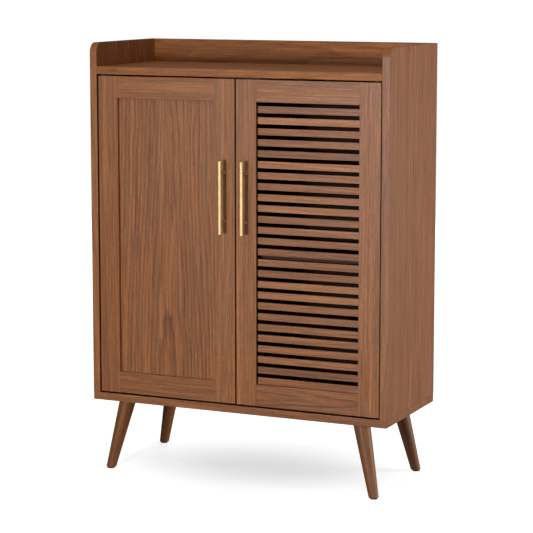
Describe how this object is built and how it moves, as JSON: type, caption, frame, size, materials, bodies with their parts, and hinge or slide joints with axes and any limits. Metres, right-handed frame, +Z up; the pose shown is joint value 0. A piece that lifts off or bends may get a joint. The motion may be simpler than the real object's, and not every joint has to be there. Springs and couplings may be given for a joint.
{
  "type": "shoe cabinet",
  "caption": "Upright shoe cabinet with a raised-rim tray top, a recessed-panel door and a louvred door, brass bar handles and splayed tapered legs.",
  "frame": {"origin": "on the floor, under the middle of the whole box, handles included", "axes": "+X to the right as one faces the doors, doors and handles face -Y, +Z up"},
  "size_m": [0.8, 0.3594, 1.086],
  "materials": {
    "walnut_veneer": "satin walnut veneer, grain along each board",
    "inner_board": "matt dark walnut foil inside",
    "leg_wood": "solid walnut-stained wood, satin lacquer",
    "beech": "plain fluted dowel wood",
    "brass": "brushed, lacquered",
    "steel": "zinc plated",
    "black_steel": "blackened steel pivot pins",
    "zinc": "die-cast zinc",
    "dark_plastic": "moulded, fine texture"
  },
  "bodies": {
    "carcass": {"left_side_panel": "walnut_veneer", "right_side_panel": "walnut_veneer", "bottom_panel": "walnut_veneer", "top_panel": "walnut_veneer", "tray_back_rail": "walnut_veneer", "back_panel": "inner_board", "centre_divider": "inner_board", "left_fixed_shelf": "inner_board", "right_fixed_shelf": "inner_board", "left_lower_shelf": "inner_board", "right_lower_shelf": "inner_board", "left_upper_shelf": "inner_board", "right_upper_shelf": "inner_board", "shelf_pins": "steel", "carcass_dowels": "beech", "cam_locks": "zinc", "cam_bolts": "steel", "left_lower_bush": "dark_plastic", "left_upper_bush": "dark_plastic", "right_lower_bush": "dark_plastic", "right_upper_bush": "dark_plastic", "left_catch_housing": "dark_plastic", "right_catch_housing": "dark_plastic", "left_catch_magnet": "steel", "right_catch_magnet": "steel", "catch_screws": "steel", "front_left_leg": "leg_wood", "front_right_leg": "leg_wood", "back_left_leg": "leg_wood", "back_right_leg": "leg_wood", "leg_bolts": "steel", "leg_inserts": "brass", "foot_glides": "dark_plastic"},
    "left_door": {"left_door_hinge_stile": "walnut_veneer", "left_door_meeting_stile": "walnut_veneer", "left_door_top_rail": "walnut_veneer", "left_door_bottom_rail": "walnut_veneer", "left_door_panel": "walnut_veneer", "left_door_dowels": "beech", "left_door_pivot_pins": "black_steel", "left_handle_bar": "brass", "left_handle_posts": "brass", "left_handle_screws": "steel", "left_strike_plate": "steel", "left_strike_screw": "steel"},
    "right_door": {"right_door_hinge_stile": "walnut_veneer", "right_door_meeting_stile": "walnut_veneer", "right_door_top_rail": "walnut_veneer", "right_door_bottom_rail": "walnut_veneer", "louvre_slats": "walnut_veneer", "right_door_dowels": "beech", "right_door_pivot_pins": "black_steel", "right_handle_bar": "brass", "right_handle_posts": "brass", "right_handle_screws": "steel", "right_strike_plate": "steel", "right_strike_screw": "steel"}
  },
  "joints": [
    {"name": "left_door_hinge", "type": "hinge", "parent": "carcass", "child": "left_door", "pos_m": [-0.36575, -0.14075, 0.6], "axis": [0, 0, -1], "range_deg": [0, 110]},
    {"name": "right_door_hinge", "type": "hinge", "parent": "carcass", "child": "right_door", "pos_m": [0.36575, -0.14075, 0.6], "axis": [0, 0, 1], "range_deg": [0, 110]}
  ]
}
